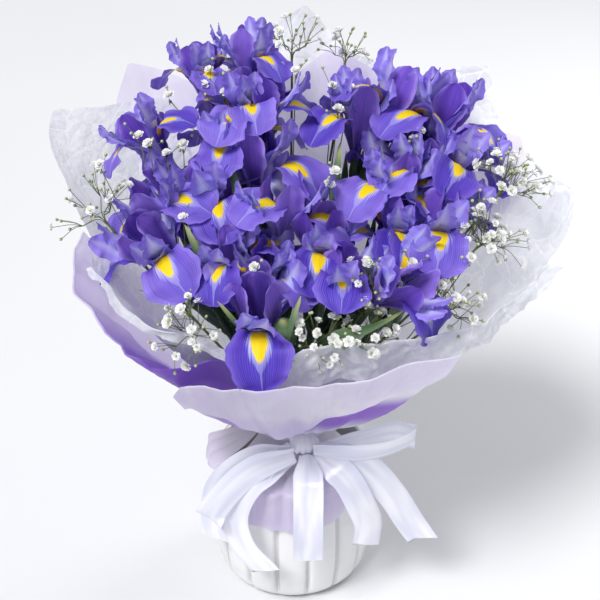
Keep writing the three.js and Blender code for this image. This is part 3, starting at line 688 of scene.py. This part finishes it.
def green_material():
    n = Nodes("iris_green")
    s, t, kind, tone = n.place()
    lines = n.grain(s, t, n.times(tone, 5.0), 9.0, 0.8, 2.0, scale=2.0)
    color = n.mix(n.step(lines, 0.35, 0.65), rgb(46, 76, 42), rgb(84, 114, 68))
    color = n.mix(n.step(n.noise(n.point(), 40.0), 0.4, 0.7, 0.0, 0.5), color, rgb(106, 132, 98))
    tip = n.times(n.step(t, 0.8, 1.0), n.math("GREATER_THAN", kind, 3.5))
    color = n.mix(tip, color, rgb(160, 168, 110))
    return n.finish(color, n.bump(lines, 0.4, 0.0008), 0.12, Roughness=0.5)


def spray_material():
    n = Nodes("gypsophila")
    _, t, kind, _ = n.place()
    cloud = n.noise(n.point(), 220.0)
    stalk = n.mix(n.step(cloud, 0.3, 0.7), rgb(96, 112, 62), rgb(136, 146, 96))
    bud = n.mix(n.step(t, 0.2, 0.9), rgb(134, 152, 92), rgb(214, 222, 186))
    bloom = n.mix(n.step(t, 0.0, 0.6), rgb(222, 228, 204), rgb(253, 253, 251))
    bloom = n.mix(n.step(cloud, 0.4, 0.7, 0.0, 0.3), bloom, rgb(226, 230, 222))
    color = n.mix(n.math("GREATER_THAN", kind, 1.5), bud, bloom)
    color = n.mix(n.math("GREATER_THAN", kind, 0.5), stalk, color)
    return n.finish(color, n.bump(cloud, 0.3, 0.0004), 0.25, Roughness=0.7)


def tissue_material():
    n = Nodes("tissue_paper")
    point = n.point()
    soft = n.noise(point, 26.0, 4.0, 0.6)
    bent = n.add("VectorMath", operation="MULTIPLY_ADD")
    n.feed(bent.inputs, n.joined(soft, n.noise(point, 31.0), soft), (0.03, 0.03, 0.03), point)
    creases, small = [n.cracks(bent.outputs[0], scale) for scale in (34.0, 90.0)]
    rough = n.noise(bent.outputs[0], 70.0, 4.0, 0.7)
    # painted shade on the white tissue: grey mottling for the shade in its crumples
    color = n.mix(n.step(soft, 0.3, 0.7), rgb(224, 227, 235), rgb(248, 249, 253))
    color = n.mix(n.step(rough, 0.45, 0.75, 0.0, 0.4), color, rgb(214, 217, 227))
    # painted highlight: the crease lines lightened to white, for their lit ridges
    color = n.mix(n.step(creases, 0.0, 0.035, 0.75, 0.0), color, rgb(255, 255, 255))
    color = n.mix(n.step(small, 0.0, 0.02, 0.35, 0.0), color, rgb(252, 252, 255))
    height = n.plus(creases, n.times(small, 0.6))
    normal = n.bump(height, 0.5, 0.006, Normal=n.bump(soft, 0.5, 0.004))
    return n.finish(color, normal, 0.5, Roughness=0.5, Alpha=n.step(soft, 0.2, 0.8, 0.82, 0.95))


def film_material():
    n = Nodes("pearl_film")
    s, t, deep, _ = n.place()
    soft = n.noise(n.point(), 14.0, 3.0)
    streak = n.grain(s, t, 0.0, 30.0, 2.0, 3.0)
    color = n.mix(n.step(soft, 0.3, 0.7), rgb(238, 233, 247), rgb(250, 248, 253))
    color = n.mix(n.step(streak, 0.5, 0.75, 0.0, 0.15), color, rgb(212, 192, 236))
    # painted shade: the film turns deep purple where its folds, overlapping layers and the shade under its
    # cuff are painted
    color = n.mix(n.times(deep, n.step(soft, 0.2, 0.8, 0.8, 1.0)), color, rgb(142, 78, 214))
    normal = n.bump(streak, 0.2, 0.0012, Normal=n.bump(soft, 0.3, 0.004))
    return n.finish(color, normal, 0.55, Roughness=0.34, Coat_Weight=0.25, Coat_Roughness=0.3,
                    Alpha=n.step(soft, 0.2, 0.8, 0.9, 0.98))


def satin_material():
    n = Nodes("satin_ribbon")
    s, t, kind, _ = n.place()
    streak = n.grain(s, t, kind, 1.3, 2.0, 1.0)
    weave = n.grain(s, t, kind, 60.0, 30.0, 1.0)
    edge = n.step(n.math("ABSOLUTE", s), 0.9, 0.94)
    # painted shade and sheen: bluish grey streaks along the white ribbon, and its edges darkened
    color = n.mix(n.step(streak, 0.3, 0.7), rgb(222, 224, 240), rgb(247, 248, 254))
    color = n.mix(n.times(edge, 0.25), color, rgb(214, 216, 234))
    height = n.plus(n.times(weave, 0.15), n.times(edge, 0.5))
    normal = n.bump(height, 0.15, 0.0003, Normal=n.bump(streak, 0.1, 0.002))
    return n.finish(color, normal, 0.25, Roughness=0.27, Sheen_Weight=0.2, Anisotropic=0.6)


def ceramic_material():
    n = Nodes("white_glaze")
    groove, *_ = n.place()
    point = n.point()
    soft = n.noise(point, 22.0, 3.0)
    color = n.mix(n.step(soft, 0.3, 0.7), rgb(216, 216, 217), rgb(226, 226, 226))
    # painted shade: the grooves darkened to grey
    color = n.mix(n.step(groove, 0.1, 1.0, 0.0, 0.35), color, rgb(184, 184, 187))
    specks = n.noise(point, 420.0, 1.0)
    color = n.mix(n.step(specks, 0.7, 0.8, 0.0, 0.25), color, rgb(214, 214, 218))
    return n.finish(color, n.bump(soft, 0.3, 0.0012), Roughness=n.step(soft, 0.2, 0.8, 0.14, 0.24),
                    Coat_Weight=0.4, Coat_Roughness=0.08)


def twine_material():
    n = Nodes("jute_twine")
    s, t, *_ = n.place()
    ply = n.grain(s, t, 0.0, 3.0, 300.0, 2.0)
    color = n.mix(n.step(ply, 0.35, 0.65), rgb(138, 112, 70), rgb(206, 182, 136))
    return n.finish(color, n.bump(ply, 0.8, 0.0008), Roughness=0.9)


PETAL, GREEN, SPRAY, TISSUE = petal_material(), green_material(), spray_material(), tissue_material()
FILM, SATIN, CERAMIC, TWINE = film_material(), satin_material(), ceramic_material(), twine_material()


# ---- vase ----
def vase():
    foot, belly, rim, height, wall, floor, flutes, deep = VASE.values()
    outer = [(0.5, 2.5), (40, 2.5), (foot - 5, 0.2), (foot - 1, 0), (foot + 3.6, 1.6), (foot + 8.5, 7),
             (belly + 0.6, 20), (belly + 2.4, 36), (belly + 2.8, 52), (belly + 2.4, 70), (belly + 1.2, 88),
             (belly - 1, 104), (rim + 0.2, 114)]
    lip = [(rim + 0.3, 117.5), (rim - 1, 119.6), (rim - 2.5, 120), (rim - 4.4, 119), (rim - wall, 116)]
    inner = [(belly - 8, 85), (belly - 8, 40), (belly - 10, 20), (foot - 4, 8), (foot - 14, floor),
             (0.5, floor)]
    outside = path(outer, 70)[:-1]
    line = np.concatenate([outside, path(lip, 14)[:-1], path(inner, 34)])
    # one flute's columns, closest beside the groove at its middle
    step = [0, 0.05, 0.1, 0.17, 0.25, 0.33, 0.39, 0.43, 0.46, 0.485, 0.5, 0.515, 0.54, 0.57, 0.61, 0.67,
            0.75, 0.83, 0.9, 0.95]
    around = (np.arange(flutes)[:, None] + np.array(step)[None]).ravel() / flutes * 2 * math.pi
    middle = (around * flutes / (2 * math.pi)) % 1.0 - 0.5
    groove = np.exp(-((middle / 0.07) ** 2)) + 0.22 * smooth(1 - np.abs(middle) / 0.3)
    fluted = np.zeros(len(line))
    radius, z = outside.T
    fluted[:len(outside)] = smooth((z - 1) / 14) * smooth((119 - z) / 6) * (radius > foot - 2)
    cut = fluted[:, None] * groove[None]
    radius = line[:, :1] - deep * 1.05 * cut
    points = stacked(radius * np.cos(around), radius * np.sin(around), line[:, 1:])
    build = Build()
    # the grooves' depth goes to the glaze, which paints shade in them
    build.grid(points[::-1], stacked(cut, line[:, 1:] / height, 0.0)[::-1], wrap=True)
    return build.make("vase_glazed", CERAMIC)


# ---- gypsophila ----
def little_bloom(build, centre, way, radius, rng):
    """A double flower: rings of small notched petals, opening wide outside and standing up inside."""
    way = unit(way)
    side = unit(np.cross(way, [0.3, 0.5, 0.81]))
    t = np.array([0.1, 0.6, 1.0])[:, None, None]
    s = np.array([-1.0, 0.0, 1.0])[None, :, None]
    half = np.array([0.12, 0.42, 0.3])[:, None, None] * radius
    bend = way * (0.15 * radius) * (s**2) + way * 0.12 * radius * t
    for ring, (count, tilt, long) in enumerate(RINGS):
        for k in range(count):
            out = turned(side, way, 360 * (k + 0.5 * ring) / count + rng.uniform(-12, 12))
            lean = math.radians(tilt + rng.uniform(-10, 10))
            tip = out * math.sin(lean) + way * math.cos(lean)
            points = centre + tip * (radius * long * (t - 0.08 * s**2))
            points = points + np.cross(way, out) * (half * s) + bend
            build.grid(points, stacked(s[..., 0], t[..., 0], BLOOM), rng.uniform(-1, 1))


def knob(build, end, way, low, high):
    """A closed green bud at the end of a twig, with its radius low down and higher up."""
    tube(build, [end + way * up for up in (-0.6, 0.6, 1.7, 2.3)], (0.4, low, high, 0.3), 6, kind=KNOB)


def single(build, stem, spot, rng):
    """A bloom on a branch of its own, with two buds beside it."""
    foot = stem[int(len(stem) * 0.72)]
    bend = (foot + spot) / 2 + [0, 0, -14]
    tube(build, path([foot, bend, spot - [0, 0, 3]], 10), 0.42, 4)
    face = unit(unit(spot - [0, 0, 150]) + [0, -0.5, 0.2])
    little_bloom(build, spot, face, rng.uniform(3.8, 5.0), rng)
    for _ in range(2):
        end = spot + rng.uniform(-11, 11, 3) + [0, 0, 3]
        tube(build, path([spot - [0, 0, 7], (spot + end) / 2 - [0, 0, 1], end], 5), 0.3, 3)
        knob(build, end, face, 1.3, 1.15)


def spray(index):
    rng = np.random.default_rng(SEEDS["spray"] + index)
    reach, arms, blooms, twigs = SPRAYS[index][3:]
    own = len(IRISES) + 1 + index
    hub, axis, _ = crowns[own]
    build = Build()
    stem = path(route(own), 44)
    tube(build, stem, STEM["spray"] * np.linspace(1, 0.6, 44), 6)
    side = unit(np.cross(axis, [1.0, 0, 0]))
    for k in range(arms):
        lean = 0.25 + 1.05 * math.sqrt((k + 0.5) / arms) * rng.uniform(0.8, 1.15)
        way = turned(turned(axis, side, math.degrees(lean)), axis, k * GOLDEN + 40 * index)
        fork = hub + way * reach * rng.uniform(0.3, 0.65)
        tube(build, path([hub - axis * 8, hub + axis * 2 + way * 3, fork], 6), 0.45, 4)
        for j in range(twigs):
            turn = unit(way + rng.normal(0, 0.6, 3) + 0.25 * axis)
            end = fork + turn * reach * rng.uniform(0.3, 0.8)
            end[2] += 2
            tube(build, path([fork, fork + turn * 4 + axis * 2, end], 5), 0.3, 3)
            if j < blooms:
                little_bloom(build, end, turn + 0.4 * axis, rng.uniform(2.9, 4.7), rng)
            else:
                knob(build, end, turn, 1.25, 1.1)
    for spot in SINGLES.get(index, ()):
        single(build, stem, np.array(spot, float), rng)
    return build.make("gypsophila_spray_%02d" % (index + 1), SPRAY)


# ---- wrapping ----
FINE_AZ = np.arange(-180, 541, 1.0)
KERNEL = np.exp(-(np.arange(-12, 13) / 4.0) ** 2)
KERNEL /= KERNEL.sum()
BOWL_REACH, BOWL_LEVEL = [np.convolve(read(BOWL, FINE_AZ % 360, k), KERNEL, "same") for k in (1, 2)]


def folds(az, rise):
    """How far the wrapping stands in or out: tight gathers at the neck, broad waves at the rim."""
    a = np.radians(az)
    waves = 3.2 * np.sin(7 * a + 0.8) + 2.2 * np.sin(13 * a + 2.1) + 1.4 * np.sin(23 * a + 0.4)
    pleats = np.abs(np.sin(17 * a + 0.6 * np.sin(5 * a))) - 0.6
    return waves * smooth(rise * 1.2) * 1.1 + 3.2 * pleats * np.exp(-((rise - 0.14) / 0.16) ** 2)


def sharp_folds(az, seed, painted_purple_shade):
    """Straight creases that fan out of the neck: how far they stand in or out by azimuth."""
    rng = np.random.default_rng(seed)
    places = 150 + np.cumsum(rng.uniform(4, 13, 24))
    return np.interp(az, places, painted_purple_shade * rng.uniform(0.4, 1, 24) * np.where(np.arange(24) % 2, 1, -1))


def azimuths(rows, least):
    first, last = rows[0][0], rows[-1][0]
    return np.linspace(first, last, max(least, int((last - first) / 0.9)))


def surface(sheet, az, z):
    """The radius of a sheet above the tie."""
    level, reach = np.interp(az, FINE_AZ, BOWL_LEVEL), np.interp(az, FINE_AZ, BOWL_REACH)
    neck = neck_radius(sheet["layer"])
    rise = np.clip((z - NECK_HIGH) / (level - NECK_HIGH), 0, None)
    close = smooth((az - sheet["tucked"]) / 15) if "tucked" in sheet else 0.0
    radius = neck + (reach - neck) * rise ** sheet["belly"] + sheet["flare"] * rise * (1 - 0.85 * close)
    wave = folds(az, rise) * smooth(rise * 12)
    if "creases" in sheet:
        wave = (wave * (1 - 0.8 * smooth(rise * 4 - 0.5))
                + sharp_folds(az, *sheet["creases"]) * smooth(rise * 3))
    return radius + wave


def lay(build, sheet, az, radius, z, share, painted_purple_shade, hang=0.0):
    """Adds a stretch of a sheet above the tie, crumpled. hang is 1 where it has turned over."""
    layer, tissue = sheet["layer"], sheet["look"] == "tissue"
    points = polar(az, radius, z)
    amount = (0.7 + 1.9 * hang) if tissue else 0.5
    broad, fine = rumple(points, 21, layer * 3.1), rumple(points, 9, layer)
    ridge = 0.5 - 2 * np.abs(broad) + 0.9 * (0.4 - 2 * np.abs(fine))
    points += unit(points * [1, 1, 0]) * (amount * ridge * smooth((z - NECK_HIGH) / 30))[..., None]
    lift = (hang + smooth((share - 0.85) * 4)) * (0.8 if tissue else 0.4)
    points[..., 2] += lift * rumple(points, 11, layer + 9)
    # the third value: how deep a purple shade is painted on a film
    build.grid(points, stacked(az / 60, share, painted_purple_shade))


def lay_body(build, sheet):
    """A sheet from the tie to its rim, and its rim turned over."""
    az = azimuths(sheet["rim"], 24)
    share = np.concatenate([[-0.06], shares(54) ** 1.15])[:, None]
    z = NECK_HIGH + (read(sheet["rim"], az) - NECK_HIGH) * share
    z[0] = NECK_LOW
    radius = surface(sheet, az, z)
    # painted shade: deeper purple painted up the film for its folds, overlapping layers and the shade under
    # the cuff
    low = smooth((sheet["painted_purple_shade_to"] - share) * 6) if "painted_purple_shade_to" in sheet else 1.0
    lay(build, sheet, az, radius, z, share,
        smooth((share - 0.1) * 4) * low * read(sheet.get("painted_purple_shade", [(0, 0.0)]), az))
    if "cuff" not in sheet:
        return
    way, fold, stand_off, hanging = sheet["cuff"]
    length = read(hanging, az)
    over = length > 2
    az, length, edge_radius, edge_z = az[over], length[over], radius[-1:, over], z[-1:, over]
    length = length * (1 + 0.14 * np.sin(np.radians(az * 7) + 1))
    bend = np.linspace(0, math.pi, 8)[:, None]
    fall = shares(20)[1:, None]
    fall_z = edge_z - fall * length * 0.84
    fall_radius = (surface(sheet, az, fall_z)
                   + way * (2 * fold + (stand_off + 1.5 * np.sin(np.radians(az * 11))) * fall))
    radius = np.concatenate([edge_radius + way * fold * (1 - np.cos(bend)), fall_radius])
    z = np.concatenate([edge_z + fold * np.sin(bend), fall_z])
    share = np.concatenate([1 + 0 * bend, 1 + fall])
    # painted shade: the purple painted on the turned-over cuff
    lay(build, sheet, az, radius, z, share, read(sheet.get("cuff_painted_purple_shade", [(0, 0.0)]), az),
        np.minimum((share - 1) * 6, 1))


def lay_skirt(build, sheet):
    """A sheet below the tie: down over the vase's rim and past it, in pleats."""
    neck, rows = neck_radius(sheet["layer"]), sheet["skirt"]
    az = azimuths(rows, 40)
    share = shares(34)[:, None]
    elbow_radius, elbow_z = VASE["rim"] + 6 + sheet["layer"] * 0.6, VASE["height"] + 4
    outwards, past = smooth((share - 0.12) / 0.42), np.clip((share - 0.5) / 0.5, 0, 1)
    radius = neck + 5 * smooth(share * 3) + (elbow_radius - neck - 5) * outwards
    z = NECK_LOW + 4 - 12 * smooth(share * 3) - (NECK_LOW - 8 - elbow_z) * outwards
    radius = radius + (read(rows, az) - elbow_radius) * past
    z = z + (read(rows, az, 2) - elbow_z) * past
    a = np.radians(az)
    pleat = np.abs(np.sin(11 * a + 0.9 * np.sin(4 * a))) - 0.5
    deep = 5.0 * smooth((share - 0.1) * 2.2) - 3.6 * past
    radius = radius + pleat * deep + 2.0 * np.sin(5 * a + 1) * past
    points = polar(az, radius, z)
    points += unit(points * [1, 1, 0]) * (0.7 * rumple(points, 9, 4.0) * smooth(share * 3))[..., None]
    # painted shade: a light wash of the painted purple on the film's skirt
    build.grid(points, stacked(az / 60, 1 - share, 0.18))


def wrapping(name):
    sheet, build = SHEETS[name], Build()
    lay_body(build, sheet)
    if "skirt" in sheet:
        lay_skirt(build, sheet)
    return build.make(name + "_sheet", TISSUE if sheet["look"] == "tissue" else FILM)


# ---- twine and ribbon ----
def twine():
    turns, build = 5, Build()
    t = shares(60 * turns)
    line = polar(360 * turns * t, BUNDLE + GAP + 0.8, TIE["low"] + 1 + (TIE["high"] - TIE["low"] - 2) * t)
    tube(build, line, 0.85, 8)
    return build.make("jute_tie", TWINE)


def ribbon_strip(build, index, start, end, cut, line):
    t = shares(18 * (len(line) - 1))[:, None]
    s = np.linspace(-1, 1, 11)[None]
    middle = curve(line, t[:, 0])
    along, across, normal = frames(middle, np.array(start) * (1 - t) + np.array(end) * t)
    open_up = smooth(t / 0.2) * (1 if cut is not None else smooth((1 - t) / 0.2))
    half = RIBBON / 2 * (0.55 + 0.45 * open_up)
    ripple = 1.4 * np.sin(5 * t + index) * s + 1.3 * np.cos(3 * s + 6 * t) * (1.08 - open_up)
    cup = 1.6 * (s**2 - 0.4) * np.sin(3 * t + index * 2)
    points = swept(middle, across, half * s, normal, ripple + cup)
    if cut is not None:
        points[-1] += along[-1] * (cut * s[0])[:, None]
    build.grid(points, stacked(s, t, float(index)))


def ribbon_band(build):
    """The ribbon's turn round the neck of the wrapping."""
    around = np.linspace(0, 360, 120, endpoint=False)
    s = np.linspace(-1, 1, 9)[:, None]
    radius = neck_radius(4) + 0.35 + 0.5 * np.cos(3 * s) + 0.25 * np.sin(np.radians(around) * 9)[None]
    points = polar(around[None], radius, (NECK_LOW + NECK_HIGH) / 2 + 1.5 + 6.5 * s)
    build.grid(points, stacked(s, around / 360, 0.0), wrap=True)


def ribbon_knot(build):
    """The ribbon wrapped once over the crossing, pinched into creases."""
    a = np.linspace(0, 2 * math.pi, 48, endpoint=False)[None]
    s = np.linspace(-1, 1, 19)[:, None]
    bulge = np.sqrt(np.maximum(1 - (s * 0.86) ** 2, 0.05))
    crease = 1 + 0.07 * np.cos(14 * s + 2 * np.sin(a)) * bulge
    x, y, z = KNOT["place"]
    points = stacked(x + KNOT["half"] * s + 1.2 * np.sin(a * 2),
                     y - KNOT["deep"] * bulge * crease * np.cos(a),
                     z + KNOT["high"] * bulge * crease * np.sin(a))
    build.grid(points, stacked(s, a / 6.28 * 0.1, 0.0), wrap=True)


def ribbon():
    build = Build()
    for index, strip in enumerate(STRIPS):
        ribbon_strip(build, index, *strip)
    ribbon_band(build)
    ribbon_knot(build)
    return build.make("satin_bow", SATIN)


# ---- the pieces, each in place of its node ----
def piece(obj, slot, *nodes):
    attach(obj, "root")
    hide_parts(*nodes)
    return obj


piece(vase(), "ceramic", "vase")
for k in range(len(IRISES)):
    piece(flower(k), "iris", "iris_%02d" % (k + 1))
piece(closed_bud(), "bud", "iris_bud")
for k in range(len(SPRAYS)):
    piece(spray(k), "spray", "gypsophila_%02d" % (k + 1))
for name, sheet in SHEETS.items():
    made = piece(wrapping(name), sheet["look"], name)
piece(twine(), "twine", "stem_tie")
bow = piece(ribbon(), "ribbon", "ribbon_bow")


# ---- stage, lights and camera ----
def stage(far=4.0):
    mesh = bpy.data.meshes.new("floor")
    mesh.from_pydata([(-far, -far, 0), (far, -far, 0), (far, far, 0), (-far, far, 0)], [], [(0, 1, 2, 3)])
    n = Nodes("pale_floor")
    color = n.mix(n.noise(n.point(), 2.0), rgb(212, 213, 216), rgb(217, 218, 221))
    mesh.materials.append(n.finish(color, Roughness=0.6))
    linked("floor", mesh)


def aimed(name, light, place, target):
    obj = linked(name, light)
    obj.location = place
    obj.rotation_euler = (Vector(target) - Vector(place)).to_track_quat("-Z", "Y").to_euler()


def area_light(name, place, target, size, power):
    light = bpy.data.lights.new(name, "AREA")
    light.shape, light.size, light.energy = "DISK", size, power
    aimed(name, light, place, target)


stage()
sun = bpy.data.lights.new("key", "SUN")
sun.energy, sun.angle, sun.color = 3.0, math.radians(22), (1.0, 0.99, 0.975)
aimed("key", sun, (-0.75, -0.75, 1.5), (0, 0, 0))
area_light("rim", (1.2, 0.9, 1.1), (0, 0, 0.3), 0.8, 10)
area_light("low", (0.1, -1.7, 0.35), (0, 0, 0.2), 1.4, 4)
world = bpy.data.worlds.new("studio")
world.use_nodes = True
background = world.node_tree.nodes["Background"]
background.inputs["Color"].default_value = (0.95, 0.965, 1.0, 1)
background.inputs["Strength"].default_value = 0.5
bpy.context.scene.world = world
bpy.context.scene.view_settings.view_transform = "Standard"

lens = bpy.data.cameras.new("camera")
lens.lens, lens.sensor_width = 63, 36
camera = linked("camera", lens)
camera.location = (0.0064, -0.718, 0.689)
camera.rotation_euler = (math.radians(59.4), 0, 0)
bpy.context.scene.camera = camera
